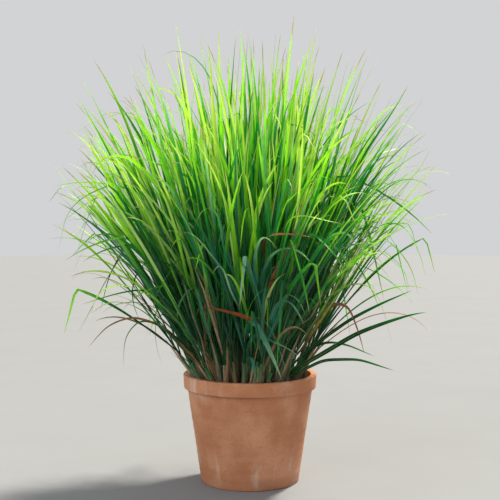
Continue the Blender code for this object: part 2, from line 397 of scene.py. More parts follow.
def offshoot_of(tiller, around, blade_count, chance):
    """A younger shoot close to a tiller's foot, with blades of its own."""
    foot = tiller.foot + level_direction(around) * chance.uniform(*SHOOT_DISTANCE)
    away = math.hypot(foot.x, foot.y)
    foot *= min(1.0, SHOOT_REACH / away)
    foot.z = soil_height(foot.x, foot.y)
    outward = min(1.15, away / CLUMP_RADIUS)
    size = chance.uniform(0.78, 1.0) + 0.10 * (1.15 - outward)
    shoot = Tiller(
        foot=foot,
        tilt=LEAN * (0.15 + outward * chance.uniform(0.8, 1.75)),
        turn=math.atan2(foot.y, foot.x) + chance.uniform(-0.5, 0.5),
        height=tiller.height * chance.uniform(0.55, 0.95),
        girth=0.62 + 0.3 * size * chance.random(),
    )
    fan_turn = chance.uniform(0, 2 * math.pi)
    for k in range(blade_count):
        shoot.blades.append(extra_blade(shoot, k % BLADES, fan_turn, size, chance))
    return shoot


@lru_cache(maxsize=1)
def grown_plant(offshoots, shoot_blades, low_blades):
    """Clusters of shoots, each a tiller and its offshoots, and the dry leaves."""
    tillers, dry_leaves = frame_growth()
    chance = random.Random(SEED + 2)
    clusters = []
    for tiller in tillers:
        fan_turn = chance.uniform(0, 2 * math.pi)
        cluster = [tiller]
        for k in range(offshoots):
            around = 2 * math.pi * (k + chance.random()) / offshoots
            cluster.append(offshoot_of(tiller, around, shoot_blades, chance))
        for k in range(low_blades):
            size = chance.uniform(0.8, 1.0)
            tiller.blades.append(extra_blade(tiller, 3 + k % 2, fan_turn, size, chance))
        clusters.append(cluster)
    return clusters, dry_leaves


def plant_of(look):
    return grown_plant(look.offshoots, look.shoot_blades, look.low_blades)


# Meshes made of rings.


def unit(rows):
    return rows / np.linalg.norm(rows, axis=-1, keepdims=True)


def directions_along(points):
    """The direction of a path at each of its points."""
    return unit(np.gradient(points, axis=0))


def face_inwards(points, quads):
    """True if the four-cornered faces round a form are turned towards its inside."""
    a, b, c, d = (points[np.array(quads)[:, k]] - points[0] for k in range(4))
    return (a * np.cross(b, c)).sum() + (a * np.cross(c, d)).sum() < 0


def faces_between(rows, sides, along):
    """The four-cornered faces between rings and, for each, its corners' places on the surface map."""
    grid = np.arange(rows * sides).reshape(rows, sides)
    after = np.roll(grid, -1, axis=1)
    faces = np.stack([grid[:-1], after[:-1], after[1:], grid[1:]], axis=-1).reshape(-1, 4).tolist()
    places = [
        [(k / sides, low), ((k + 1) / sides, low), ((k + 1) / sides, high), (k / sides, high)]
        for low, high in zip(along[: rows - 1].tolist(), along[1:rows].tolist())
        for k in range(sides)
    ]
    return faces, places


class Bunch:
    """Closed forms of rings gathered into one mesh.

    The point colour "tone" holds the share along, the share across, a seed and the dryness. The face
    value "bloom" holds how much of the waxy, bluish bloom covers it. In the surface map "OFBake", each
    form has a column of its own.
    """

    MAP_GAP = 0.06  # left at each side of a column, as a share of its width
    MAP_END_GAP = 0.01  # left at each end of it, as a share of its length

    def __init__(self):
        self.points, self.tones, self.margins = [], [], []
        self.faces, self.places, self.blooms = [], [], []
        self.size = 0
        self.columns = 0

    def add(self, rings, along, around, seed, dry, tip=None, margins=(), blooms=None):
        """Adds rings of points, shaped (rows, sides, 3), closed by a flat end below and a tip above.

        Without a tip, a flat end closes them above too. margins are the sides that stay sharp, and blooms
        holds a value for each side.
        """
        rows, sides = rings.shape[:2]
        blooms = blooms or [0.0] * sides
        points = rings.reshape(-1, 3)
        tones = np.empty((rows, sides, 4))
        tones[..., 0] = along[:rows, None]
        tones[..., 1] = around
        tones[..., 2:] = seed, dry
        tones = tones.reshape(-1, 4)
        margin = np.zeros((rows, sides), np.int8)
        for number, side in enumerate(margins, 1):
            margin[:, side] = number
        margin = margin.reshape(-1)

        faces, places = faces_between(rows, sides, along)
        inside_out = face_inwards(points, faces)
        face_blooms = blooms * (rows - 1)
        last = (rows - 1) * sides
        ends = [range(sides)[::-1]]
        if tip is None:
            ends.append(range(last, last + sides))
        else:
            points = np.vstack([points, tip])
            tones = np.vstack([tones, [along[rows], 0.5, seed, dry]])
            margin = np.append(margin, 0)
            low = float(along[rows - 1])
            for k in range(sides):
                faces.append([last + k, last + (k + 1) % sides, last + sides])
                places.append([(k / sides, low), ((k + 1) / sides, low), ((k + 0.5) / sides, 1.0)])
            face_blooms += blooms
        for end in ends:
            faces.append(list(end))
            places.append([(k / sides, 0.0) for k in range(sides)])
            face_blooms.append(0.0)
        if inside_out:
            faces = [face[::-1] for face in faces]
            places = [corners[::-1] for corners in places]

        self.points.append(points)
        self.tones.append(tones)
        self.margins.append(margin)
        self.faces += [[index + self.size for index in face] for face in faces]
        self.places += [(self.columns, u, v) for corners in places for u, v in corners]
        self.blooms += face_blooms
        self.size += len(points)
        self.columns += 1

    def mesh(self, name):
        mesh = bpy.data.meshes.new(name)
        mesh.from_pydata(np.vstack(self.points), [], self.faces, shade_flat=False)
        tone = mesh.attributes.new("tone", "FLOAT_COLOR", "POINT")
        tone.data.foreach_set("color", np.vstack(self.tones).astype(np.float32).ravel())
        bloom = mesh.attributes.new("bloom", "FLOAT", "FACE")
        bloom.data.foreach_set("value", np.array(self.blooms, np.float32))
        column, u, v = np.array(self.places).T
        inset_u = self.MAP_GAP + (1 - 2 * self.MAP_GAP) * u
        inset_v = self.MAP_END_GAP + (1 - 2 * self.MAP_END_GAP) * v
        places = np.stack([(column + inset_u) / self.columns, inset_v], axis=-1)
        layer = mesh.uv_layers.new(name="OFBake")
        layer.data.foreach_set("uv", places.astype(np.float32).ravel())
        self._keep_margins_sharp(mesh)
        return mesh

    def _keep_margins_sharp(self, mesh):
        margin = np.concatenate(self.margins)
        ends = np.empty(len(mesh.edges) * 2, np.int32)
        mesh.edges.foreach_get("vertices", ends)
        one, other = margin[ends.reshape(-1, 2)].T
        sharp = mesh.attributes.new("sharp_edge", "BOOLEAN", "EDGE")
        sharp.data.foreach_set("value", (one > 0) & (one == other))


# Round a blade from its left margin: how far across, from -1 to 1, and how far below or above the middle
# of its thickness. The midrib stands out below.
SECTION_BELOW = [(-1, 0), (-0.5, -0.8), (0, -1.7), (0.5, -0.8)]
SECTION_ABOVE = [(1, 0), (0.5, 0.8), (0, 0.5), (-0.5, 0.8)]
SECTION = np.array(SECTION_BELOW + SECTION_ABOVE)
SECTION_ACROSS = (SECTION[:, 0] + 1) / 2
SECTION_MARGINS = (0, 4)
# The fold of a blade along its length, as an angle in degrees that each half rises by.
FOLD_ALONG = (0, 0.10, 0.30, 0.7, 1)
FOLD_ANGLES = (40, 24, 15, 8)
FOLD_CURVE = 1.25  # over 1, a blade is hollow rather than folded sharply at its midrib
TIP_THINNING = 0.6  # how much thinner a blade is at its tip
CLASP = 62.0  # the fold where a blade clasps its stalk, in degrees
HUSK_CLASP = 55.0
OLD_LEAF_CLASP = 35.0
LITTER_CLASP = 20.0


def blade_frames(blade):
    """Points along a blade and, at each, the directions across it and out of its upper side."""
    path = blade_path(blade)[::RING_EVERY]
    points = np.array([point for point, _, _ in path])
    tilt = np.array([step[1] for step in path])
    turn = np.array([step[2] for step in path])
    level = np.stack([-np.sin(turn), np.cos(turn), np.zeros(len(turn))], axis=-1)
    face = np.stack([-np.cos(tilt) * np.cos(turn), -np.cos(tilt) * np.sin(turn), np.sin(tilt)], axis=-1)
    spin = (blade.twist * np.linspace(0, 1, len(path)))[:, None]
    return points, level * np.cos(spin) + face * np.sin(spin), face * np.cos(spin) - level * np.sin(spin)


def outline_share(along):
    """A blade's width along its length: broad from a quarter of the way up, and drawn out to a point."""
    return (0.50 + 0.50 * np.minimum(1.0, along / 0.25) ** 0.8) * (1 - along**3.4) ** 0.9


def underside_bloom(seed):
    """The share of waxy bloom on a blade's underside: little on half of them, and up to 0.8 on others."""
    share = min(1.0, max(0.0, (seed - 0.45) / 0.5))
    return 0.06 + 0.74 * share * share * (3 - 2 * share)


def add_strip(bunch, frames, width, thickness, seed, dry, clasp=CLASP, bloom=0.0):
    """A folded blade along frames: points, directions across and directions out of its upper side.

    Its thickness is that beside the midrib, and bloom is the share of waxy bloom on its upper side.
    """
    points, across, face = frames
    along = np.linspace(0, 1, len(points))
    body = along[:-1]
    half = (width * outline_share(body) / 2)[:, None]
    fold = np.radians(np.interp(body, FOLD_ALONG, (clasp, *FOLD_ANGLES)))[:, None]
    half_thickness = thickness / 2 * (1 - TIP_THINNING * body[:, None])
    side, lift = SECTION.T
    out = half * side * np.cos(fold)
    rise = half * np.abs(side) ** FOLD_CURVE * np.sin(fold) + half_thickness * lift
    rings = points[:-1, None] + across[:-1, None] * out[..., None] + face[:-1, None] * rise[..., None]
    below, above = max(bloom, underside_bloom(seed)), bloom
    blooms = [below] * len(SECTION_BELOW) + [above] * len(SECTION_ABOVE)
    bunch.add(
        rings, along, SECTION_ACROSS, seed, dry, tip=points[-1], margins=SECTION_MARGINS, blooms=blooms
    )


def add_blade(bunch, blade, shoot, look, chance):
    """A blade of a shoot. Its foot is carried down inside the shoot's stalk, as a sheath is."""
    points, across, above = blade_frames(blade)
    foot = shoot.foot + shoot.direction() * (shoot.height - FOOT_DEPTH)
    frames = (
        np.vstack([np.array(foot), points]),
        np.vstack([across[0], across]),
        np.vstack([above[0], above]),
    )
    seed = chance.random() * (0.5 if blade.dry else 1)  # the dry ones are straw or tan
    if blade.kink:  # the creased ones are darker, as painted shade on the blades that hang over
        seed = (math.floor(seed * SHADES) + chance.uniform(0.10, 0.60)) / SHADES
    add_strip(bunch, frames, blade.width * look.breadth, look.blade_thickness, seed, blade.dry)


def rings_round(points, direction, radii):
    """Rings round points on a straight line, square to it. radii is shaped (rows, sides)."""
    turn = np.linspace(0, 2 * np.pi, radii.shape[1], endpoint=False)[:, None]
    level = unit(np.cross(direction, (0.0, 0.0, 1.0)))
    other = np.cross(direction, level)
    spokes = level * np.cos(turn) + other * np.sin(turn)
    return points[:, None] + spokes[None] * radii[..., None]


def add_stalk(bunch, shoot, chance):
    """The rolled sheaths of a shoot: each edge of a sheath winds up it, and each collar ends one."""
    direction = np.array(shoot.direction())
    buried = STALK_DEPTH / 2
    share = np.linspace(0, 1, STALK_RINGS)
    points = np.array(shoot.foot) + direction * (-buried + (shoot.height + buried) * share)[:, None]
    radius = np.array([stalk_radius(part) for part in share]) * shoot.girth
    around = np.linspace(0, 1, STALK_SIDES, endpoint=False)
    wound = (around + chance.random() + SHEATH_WINDING * share[:, None]) % 1
    girth = 1 + SHEATH_EDGE * wound
    slant = COLLAR_SLANT * np.cos(2 * np.pi * around)
    for heights in COLLAR_HEIGHTS:
        girth = girth - COLLAR_STEP * (share[:, None] > chance.uniform(*heights) + slant)
    swelling = 1 + STALK_SWELLING * np.exp(-(((share - 0.12) / 0.12) ** 2))
    rings = rings_round(points, direction, (radius * swelling)[:, None] * girth)
    bunch.add(rings, share, around, chance.random(), max(0.0, chance.uniform(-0.6, 0.5)))


def add_heart(bunch, shoot, chance):
    """The rolled heart that carries on from a stalk's top, inside the blades, and ends in a point."""
    direction = np.array(shoot.direction())
    share = np.linspace(0, 1, HEART_RINGS)
    points = np.array(shoot.foot) + direction * (shoot.height - 0.002 + HEART_LENGTH * share)[:, None]
    radius = between((STALK_RADIUS[1], HEART_TOP_RADIUS), share[:-1]) * shoot.girth * HEART_GIRTH
    rings = rings_round(points[:-1], direction, np.repeat(radius[:, None], HEART_SIDES, axis=1))
    around = np.linspace(0, 1, HEART_SIDES, endpoint=False)
    bunch.add(rings, 0.1 * share, around, chance.random(), 0.0, tip=points[-1])


def add_husk(bunch, shoot, look, chance):
    """A dry outer sheath that has come loose from a stalk, straw or tan and torn short."""
    around = shoot.turn + chance.uniform(-1.6, 1.6)
    outside = level_direction(around)
    husk = Blade(
        start=shoot.foot + outside * STALK_RADIUS[0] * shoot.girth * 0.95 - UP * 0.004,
        tilt=shoot.tilt + chance.uniform(0.0, 0.10),
        turn=shoot.turn + chance.uniform(-0.3, 0.3),
        length=chance.uniform(*HUSK_LENGTH),
        droop=chance.uniform(0, 9),
        sway=chance.uniform(-2, 2),
        twist=chance.uniform(-0.8, 0.8),
        width=chance.uniform(*HUSK_WIDTH),
    )
    points = blade_frames(husk)[0]
    ahead = directions_along(points)
    across = unit(np.cross(ahead, np.array(outside)))
    frames = points, across, np.cross(ahead, across)
    add_strip(
        bunch, frames, husk.width, look.blade_thickness, chance.uniform(0.1, 0.85), 1.0, clasp=HUSK_CLASP
    )


# Finishes.


class Value:
    """An output of a node. +, - and * put it through one more node."""

    def __init__(self, nodes, socket):
        self.nodes = nodes
        self.socket = socket

    def __add__(self, other):
        return self.nodes.math("ADD", self, other)

    def __sub__(self, other):
        return self.nodes.math("SUBTRACT", self, other)

    def __mul__(self, other):
        return self.nodes.math("MULTIPLY", self, other)


class Nodes:
    """A short way to write down a material's nodes."""

    def __init__(self, name):
        self.material = bpy.data.materials.get(name) or bpy.data.materials.new(name)
        self.material.use_nodes = True
        self.tree = self.material.node_tree
        self.tree.nodes.clear()

    def feed(self, socket, value):
        if isinstance(value, Value):
            self.tree.links.new(value.socket, socket)
        elif socket.type == "RGBA":
            socket.default_value = (*value, 1)
        else:
            socket.default_value = value

    def node(self, kind, inputs=(), **settings):
        made = self.tree.nodes.new("ShaderNode" + kind)
        for name, value in settings.items():
            setattr(made, name, value)
        for key, value in dict(inputs).items():
            self.feed(made.inputs[key], value)
        return made

    def value(self, kind, inputs=(), output=0, **settings):
        """One output of a new node."""
        return Value(self, self.node(kind, inputs, **settings).outputs[output])

    def math(self, operation, *values):
        return self.value("Math", enumerate(values), operation=operation)

    def blend(self, share, a, b, way="MIX"):
        return self.value("Mix", {0: share, 6: a, 7: b}, output=2, data_type="RGBA", blend_type=way)

    def smooth(self, value, low, high, to_low=0.0, to_high=1.0):
        """A smooth step from to_low, where the value is low, to to_high, where it is high."""
        inputs = {"Value": value, "From Min": low, "From Max": high, "To Min": to_low, "To Max": to_high}
        return self.value("MapRange", inputs, interpolation_type="SMOOTHSTEP")

    def ramp(self, value, stops):
        """Colours in order of the value. Each stop is a value and its colour."""
        stops = list(stops)
        made = self.node("ValToRGB", {0: value})
        elements = made.color_ramp.elements
        while len(elements) < len(stops):
            elements.new(0.5)
        for element, (place, colour) in zip(elements, stops):
            element.position = place
            element.color = (*colour, 1)
        return Value(self, made.outputs[0])

    def noise(self, place, scale, detail=3.0, rough=0.55):
        inputs = {"Vector": place, "Scale": scale, "Detail": detail, "Roughness": rough}
        return self.value("TexNoise", inputs)

    def place(self):
        """The place in the object's own coordinates, which are the frame's."""
        return self.value("TexCoord", output="Object")

    def height(self):
        return self.value("SeparateXYZ", {0: self.place()}, output=2)

    def tones(self):
        """The share along, the share across, the seed and the dryness of a blade or stalk."""
        tone = self.node("Attribute", attribute_name="tone")
        split = self.node("SeparateColor", {0: Value(self, tone.outputs["Color"])})
        return [Value(self, socket) for socket in (*split.outputs[:3], tone.outputs["Alpha"])]

    def streaks(self, along, across, seed, stretch, scale):
        """Noise in long streaks up a blade or stalk, unlike from seed to seed."""
        apart = seed * 37.0
        up = along * stretch + apart
        return self.noise(self.value("CombineXYZ", {0: across, 1: up, 2: apart}), scale)

    def bump(self, height, strength, distance):
        return self.value("Bump", {"Strength": strength, "Distance": distance, "Height": height})

    def skin(self, colour, roughness, more=()):
        """The main shader, with any more of its inputs by name."""
        return self.value("BsdfPrincipled", {"Base Color": colour, "Roughness": roughness, **dict(more)})

    def finish(self, shader):
        """The material, with this shader over its whole surface."""
        self.node("OutputMaterial", {"Surface": shader})
        return self.material


def straw_colours(nodes, look, seed, streaks):
    """Dead leaf: straw, tan or rust by its seed, with darker streaks along it."""
    colours = [look.straw, look.tan, look.rust, look.dark_rust]
    plain = nodes.ramp(seed, zip((0.0, 0.45, 0.75, 1.0), colours))
    return nodes.blend(nodes.smooth(streaks, 0.42, 0.75), plain, look.dry_streak)


def blade_finish(look):
    """Green blade: pale midrib and margins, fine veins, tan tip, darker low down as partly painted shade,
    bluish bloom with a painted silver sheen near the tip, glow.

    The greens run from deep to pale by ripeness and painted light, which rise up the blade and up the plant,
    and differ along the streaks and from blade to blade. The deep greens low on the blade and low in the
    plant are partly painted shade, the lime and pale greens higher up partly painted sunlight and sheen, and
    the darker and lighter blades partly painted shaded and sunlit ones.
    """
    nodes = Nodes("green_blade_finish")
    along, across, seed, dry = nodes.tones()
    bloom = nodes.value("Attribute", output="Fac", attribute_name="bloom")
    streaks = nodes.streaks(along, across, seed, stretch=7.0, scale=3.0)
    # Lightness differs from blade to blade, and partly paints darker blades as shaded and lighter ones as
    # sunlit.
    lightness = nodes.math("FRACT", seed * SHADES)
    from_rib = nodes.math("ABSOLUTE", across - 0.5)

    # Painted light: the greens darken low on the blade and low in the plant as painted shade, and lighten
    # higher up as painted sunlight.
    ripeness_and_light = along * 1.10 + nodes.height() * 0.38 + (streaks - 0.5) * 0.45 + (lightness - 0.935)
    ripeness_and_light += nodes.smooth(lightness, 0.78, 1.0, 0.0, 0.18)
    greens = [look.deep_green, look.leaf_green, look.lime_green, look.tip_green]
    green = nodes.ramp(ripeness_and_light, zip((0.0, 0.40, 0.80, 1.0), greens))
    # Waxy bluish bloom, partly a painted sky sheen that turns silver near the tip.
    bloom_and_sheen = nodes.blend(nodes.smooth(ripeness_and_light, 0.5, 1.05), look.bloom_green, look.silver_green)
    green = nodes.blend(bloom, green, bloom_and_sheen)

    veins = nodes.math("SINE", across * (2 * math.pi * look.veins))
    green = nodes.blend(nodes.smooth(veins, 0.2, 1.0, 0.0, 0.10), green, look.vein_green)
    rib = nodes.smooth(from_rib, 0.012, 0.055, 1.0, 0.0) * nodes.smooth(along, 0.1, 0.95, 0.85, 0.1)
    green = nodes.blend(rib, green, look.midrib_colour)
    margin = nodes.smooth(from_rib, 0.455, 0.5, 0.0, 0.5)
    green = nodes.blend(margin, green, look.midrib_colour)

    tip = nodes.smooth(along + seed * 0.08, 0.97, 1.05)
    blotches = nodes.smooth(streaks, 0.35, 0.6) * 0.25
    dead = nodes.math("MAXIMUM", tip, nodes.smooth(dry + blotches, 0.25, 0.8))
    straw_seed = seed * nodes.smooth(dry, 0.0, 0.5, 0.2, 1.0)
    colour = nodes.blend(dead, green, straw_colours(nodes, look, straw_seed, streaks))

    normal = nodes.bump(veins + streaks, strength=0.25, distance=0.0004)
    roughness = nodes.smooth(dead, 0.0, 1.0, 0.34, 0.75)
    skin = nodes.skin(colour, roughness, {"Normal": normal, "Specular IOR Level": 0.30})
    glow = nodes.blend(1.0, colour, look.glow_colour, "MULTIPLY")
    through = nodes.value("BsdfTranslucent", {"Color": glow, "Normal": normal})
    return nodes.finish(nodes.value("MixShader", {0: look.glow, 1: skin, 2: through}))


def stalk_finish(look):
    """Rolled sheaths: pinkish and pale at the foot, green higher up, ribbed, with papery dry ones."""
    nodes = Nodes("stalk_finish")
    along, around, seed, dry = nodes.tones()
    streaks = nodes.streaks(along, around * 6.0, seed, stretch=3.0, scale=2.5)
    unevenness = streaks - 0.5
    colours = [look.stalk_foot, look.stalk_pale, look.stalk_green, look.deep_green]
    living = nodes.ramp(along + unevenness * 0.5, zip((0.12, 0.42, 0.70, 1.0), colours))
    ribs = nodes.math("SINE", around * (2 * math.pi * look.stalk_ribs))
    ribbed = nodes.smooth(ribs, 0.0, 1.0, 0.0, 0.25) * nodes.smooth(along, 0.55, 0.95, 1.0, 0.15)
    living = nodes.blend(ribbed, living, look.stalk_rib)
    husk = straw_colours(nodes, look, seed * 0.8, streaks)
    dead = nodes.smooth(dry + unevenness * 0.8, 0.3, 0.55)
    colour = nodes.blend(dead, living, husk)
    normal = nodes.bump(ribs + streaks, strength=0.4, distance=0.0005)
    roughness = nodes.smooth(dead, 0.0, 1.0, 0.42, 0.8)
    return nodes.finish(nodes.skin(colour, roughness, {"Normal": normal}))


def clay_finish(look):
    """Fired clay: mottled, with turning lines, chalky streaks low down and on the rim, and small pits."""
    nodes = Nodes("clay_finish")
    place, height = nodes.place(), nodes.height()
    clouds = nodes.noise(place, 9.0, 5.0)
    specks = nodes.noise(place, 260.0, 2.0)
    pits = nodes.noise(place, 900.0, 2.0)
    colour = nodes.blend(nodes.smooth(clouds, 0.35, 0.68), look.clay, look.clay_light)
    colour = nodes.blend(nodes.smooth(specks, 0.56, 0.72, 0.0, 0.5), colour, look.clay_dark)

    upright = nodes.value("Mapping", {"Vector": place, "Scale": (26.0, 26.0, 5.0)})
    streaks = nodes.smooth(nodes.noise(upright, 1.0, 4.0), 0.5, 0.72)
    low_band = nodes.smooth(height, 0.03, 0.14, 0.55, 0.12)
    rim_band = nodes.smooth(height, 0.24, 0.285, 0.0, 0.5)
    chalk = streaks * nodes.smooth(clouds, 0.38, 0.62) * nodes.math("MAXIMUM", low_band, rim_band)
    colour = nodes.blend(chalk, colour, look.chalk)
    damp = nodes.smooth(height, 0.0, 0.05, 0.55, 0.0) * nodes.smooth(clouds, 0.4, 0.6)
    colour = nodes.blend(damp, colour, look.clay_dark)

    turning = {"Vector": place, "Scale": 62.0, "Distortion": 1.6, "Detail": 2.0}
    lines = nodes.value("TexWave", turning, output="Fac", bands_direction="Z")
    normal = nodes.bump(lines * 0.5 + (specks + pits), strength=0.35, distance=0.0007)
    roughness = nodes.smooth(clouds, 0.3, 0.7, 0.9, 0.78)
    return nodes.finish(nodes.skin(colour, roughness, {"Normal": normal}))


def soil_finish(look):
    """Damp potting mix: dark crumbs with paler fibres and specks."""
    nodes = Nodes("soil_finish")
    place = nodes.place()
    crumbs = nodes.noise(place, 70.0, 6.0, 0.7)
    fibres = nodes.noise(place, 420.0, 4.0, 0.7)
    colour = nodes.blend(nodes.smooth(crumbs, 0.38, 0.66), look.soil_dark, look.soil_light)
    colour = nodes.blend(nodes.smooth(fibres, 0.60, 0.72, 0.0, 0.7), colour, look.soil_fibre)
    normal = nodes.bump(crumbs + fibres, strength=0.7, distance=0.002)
    return nodes.finish(nodes.skin(colour, 0.95, {"Normal": normal}))


def floor_finish(look):
    """A plain floor with faint clouds."""
    nodes = Nodes("floor_finish")
    clouds = nodes.smooth(nodes.noise(nodes.place(), 3.0, 4.0), 0.3, 0.7)
    clouded = [0.97 * part for part in look.floor]
    return nodes.finish(nodes.skin(nodes.blend(clouds, look.floor, clouded), 0.9))


# Sizes and colours that a user would change.


def colour_setting(name, description, default):
    return bpy.props.FloatVectorProperty(
        name=name, description=description, default=default, subtype="COLOR", min=0, max=2
    )


def number_setting(name, description, default, least=0, most=1000, **kind):
    return bpy.props.FloatProperty(
        name=name, description=description, default=default, min=least, max=most, **kind
    )


def size_setting(name, description, default):
    return number_setting(name, description, default, precision=5, subtype="DISTANCE", unit="LENGTH")


def count_setting(name, description, default, least=0, most=1000):
    return bpy.props.IntProperty(name=name, description=description, default=default, min=least, max=most)


class PotSettings(bpy.types.PropertyGroup):
    """The pot and the soil in it."""

    edge: size_setting("Edge", "How far the pot's edges are rounded", 0.0035)
    ring_depth: size_setting("Ring depth", "Depth of the rings that turning leaves", 0.0004)
    ring_spacing: size_setting("Ring spacing", "From one turned ring to the next", 0.027)
    unevenness: size_setting("Unevenness", "How far the pot's wall is out of true", 0.0007)
    crumbs: count_setting("Crumbs", "Loose crumbs on the soil", 620)
    litter: count_setting("Litter", "Bits of dry leaf on the soil", 110)
    clay: colour_setting("Clay", "Main colour of the fired clay", (0.47, 0.185, 0.085))
    clay_light: colour_setting("Pale clay", "Colour of the paler patches", (0.60, 0.28, 0.15))
    clay_dark: colour_setting("Dark clay", "Colour of specks and of damp clay", (0.24, 0.09, 0.045))
    chalk: colour_setting("Chalk", "Colour of the chalky streaks", (0.74, 0.62, 0.52))
    soil_dark: colour_setting("Dark soil", "Colour of damp soil", (0.018, 0.011, 0.007))
    soil_light: colour_setting("Light soil", "Colour of drier crumbs", (0.075, 0.048, 0.030))
    soil_fibre: colour_setting("Fibre", "Colour of fibres in the soil", (0.20, 0.13, 0.07))


class PlantSettings(bpy.types.PropertyGroup):
    """The plant's build and colours."""

    offshoots: count_setting("Offshoots", "Younger shoots round each tiller", 5, 1, 7)
    shoot_blades: count_setting("Blades", "Blades on each offshoot", 8, 3, 10)
    low_blades: count_setting("Low blades", "Extra low, arching blades on each tiller", 3, 0, 6)
    breadth: number_setting("Breadth", "Blade width beside that of the frame", 1.3, 0.5, 2)
    blade_thickness: size_setting("Blade thickness", "Thickness beside the midrib", 0.00045)
    veins: count_setting("Veins", "Veins across a blade", 13, 3, 40)
    stalk_ribs: count_setting("Stalk ribs", "Ribs round a stalk", 22, 3, 60)
    glow: number_setting("Glow", "Share of the light that shines through", 0.50, most=1, subtype="FACTOR")
    glow_colour: colour_setting("Glow colour", "Tint of the light that shines through", (1.35, 1.30, 0.8))
    # Deep and leaf green are partly painted shade low on the blades; lime and tip green partly painted
    # sunlight and sheen higher up.
    deep_green: colour_setting("Deep green", "Foot of a blade", (0.002, 0.090, 0.024))
    leaf_green: colour_setting("Leaf green", "Lower half of a blade", (0.004, 0.36, 0.026))
    lime_green: colour_setting("Lime green", "Upper half of a blade", (0.46, 0.84, 0.010))
    tip_green: colour_setting("Tip green", "End of a blade", (0.63, 0.78, 0.22))
    vein_green: colour_setting("Vein", "Veins of a blade", (0.14, 0.48, 0.08))
    midrib_colour: colour_setting("Midrib", "Midrib and margins", (0.47, 0.68, 0.27))
    # The bloom greens are partly a painted sky sheen, silvery near the tips.
    bloom_green: colour_setting("Bloom", "Waxy, bluish bloom", (0.045, 0.31, 0.225))
    silver_green: colour_setting("Silver bloom", "Waxy bloom near the tip", (0.47, 0.74, 0.55))
    stalk_foot: colour_setting("Stalk foot", "Pinkish foot of a stalk", (0.16, 0.06, 0.07))
    stalk_pale: colour_setting("Pale stalk", "Pale lower stalk", (0.22, 0.24, 0.15))
    stalk_green: colour_setting("Green stalk", "Middle of a stalk", (0.05, 0.17, 0.05))
    stalk_rib: colour_setting("Stalk rib", "Ribs of a stalk", (0.26, 0.34, 0.18))
    straw: colour_setting("Straw", "Palest dry leaf", (0.66, 0.57, 0.38))
    tan: colour_setting("Tan", "Tan dry leaf", (0.40, 0.28, 0.15))
    rust: colour_setting("Rust", "Rust-coloured dry leaf", (0.48, 0.15, 0.045))
    dark_rust: colour_setting("Dark rust", "Darkest dry leaf", (0.42, 0.075, 0.03))
    dry_streak: colour_setting("Dry streak", "Streaks along a dry leaf", (0.16, 0.07, 0.03))


class StageSettings(bpy.types.PropertyGroup):
    """Camera, lights and floor."""

    eye_distance: size_setting("Camera distance", "From the plant's middle", EYE_DISTANCE)
    eye_height: size_setting("Camera height", "Above the floor", EYE_HEIGHT)
    framed_height: size_setting("Framed height", "Height in view at the plant's middle", 1.53)
    key: number_setting("Key light", "From behind and above", 7.4)
    key_softness: number_setting(
        "Key softness",
        "Angle that the key light fills",
        math.radians(7),
        most=math.pi,
        subtype="ANGLE",
        unit="ROTATION",
    )
    fill: number_setting("Fill light", "From the front left", 50.0, subtype="POWER", unit="POWER")
    sky: number_setting("Sky", "Strength of the even light", 0.66)
    floor: colour_setting("Floor", "Colour of the floor", (0.215, 0.217, 0.225))


SETTINGS = {
    "lemongrass_pot": PotSettings,
    "lemongrass_plant": PlantSettings,
    "lemongrass_stage": StageSettings,
}


# Pieces in the scene.


def placed(data):
    """An object in the scene with this mesh, light or camera."""
    made = bpy.data.objects.new(data.name, data)
    bpy.context.scene.collection.objects.link(made)
    return made


def show(mesh, material, stands_for=()):
    """Puts a mesh in the scene as a piece of the object."""
    mesh.materials.append(material)
    piece = placed(mesh)
    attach(piece, "root")
    if stands_for:
        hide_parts(*stands_for)
    return piece


def mesh_from(name, built):
    """A mesh of this bmesh, which is freed."""
    mesh = bpy.data.meshes.new(name)
    built.to_mesh(mesh)
    built.free()
    return mesh


# Pot and soil.


def rounded(corners, radius, steps=4):
    """An outline through corners, each rounded off by a short curve. The two ends stay."""
    outline = [corners[0]]
    for before, corner, after in zip(corners, corners[1:], corners[2:]):
        corner = Vector((*corner, 0))
        into = (Vector((*before, 0)) - corner).normalized() * radius
        out = (Vector((*after, 0)) - corner).normalized() * radius
        for k in range(steps + 1):
            t = k / steps
            point = (corner + into) * (1 - t) ** 2 + corner * 2 * t * (1 - t) + (corner + out) * t * t
            outline.append((point.x, point.y))
    return outline + [corners[-1]]


def divided(outline, longest):
    """The outline with points added so that no stretch is longer than longest."""
    finer = [outline[0]]
    for (r, z), (r_after, z_after) in zip(outline, outline[1:]):
        pieces = max(1, math.ceil(math.hypot(r_after - r, z_after - z) / longest))
        for k in range(1, pieces + 1):
            finer.append((between((r, r_after), k / pieces), between((z, z_after), k / pieces)))
    return finer


def turned_mesh(name, outline, sides, shaped):
    """A solid turned round Z. The outline's ends are on the axis, and shaped moves all other points."""
    points = [(0, 0, outline[0][1]), (0, 0, outline[-1][1])]
    for r, z in outline[1:-1]:
        points += [shaped(level_direction(2 * math.pi * k / sides) * r + UP * z) for k in range(sides)]
    faces = []
    last = 2 + (len(outline) - 3) * sides
    for k in range(sides):
        after = (k + 1) % sides
        faces += [(0, 2 + after, 2 + k), (1, last + k, last + after)]
        for low in range(2, last, sides):
            faces.append((low + k, low + after, low + sides + after, low + sides + k))
    mesh = bpy.data.meshes.new(name)
    mesh.from_pydata(points, [], faces, shade_flat=False)
    built = bmesh.new()
    built.from_mesh(mesh)
    bmesh.ops.recalc_face_normals(built, faces=built.faces)
    built.to_mesh(mesh)
    built.free()
    return mesh


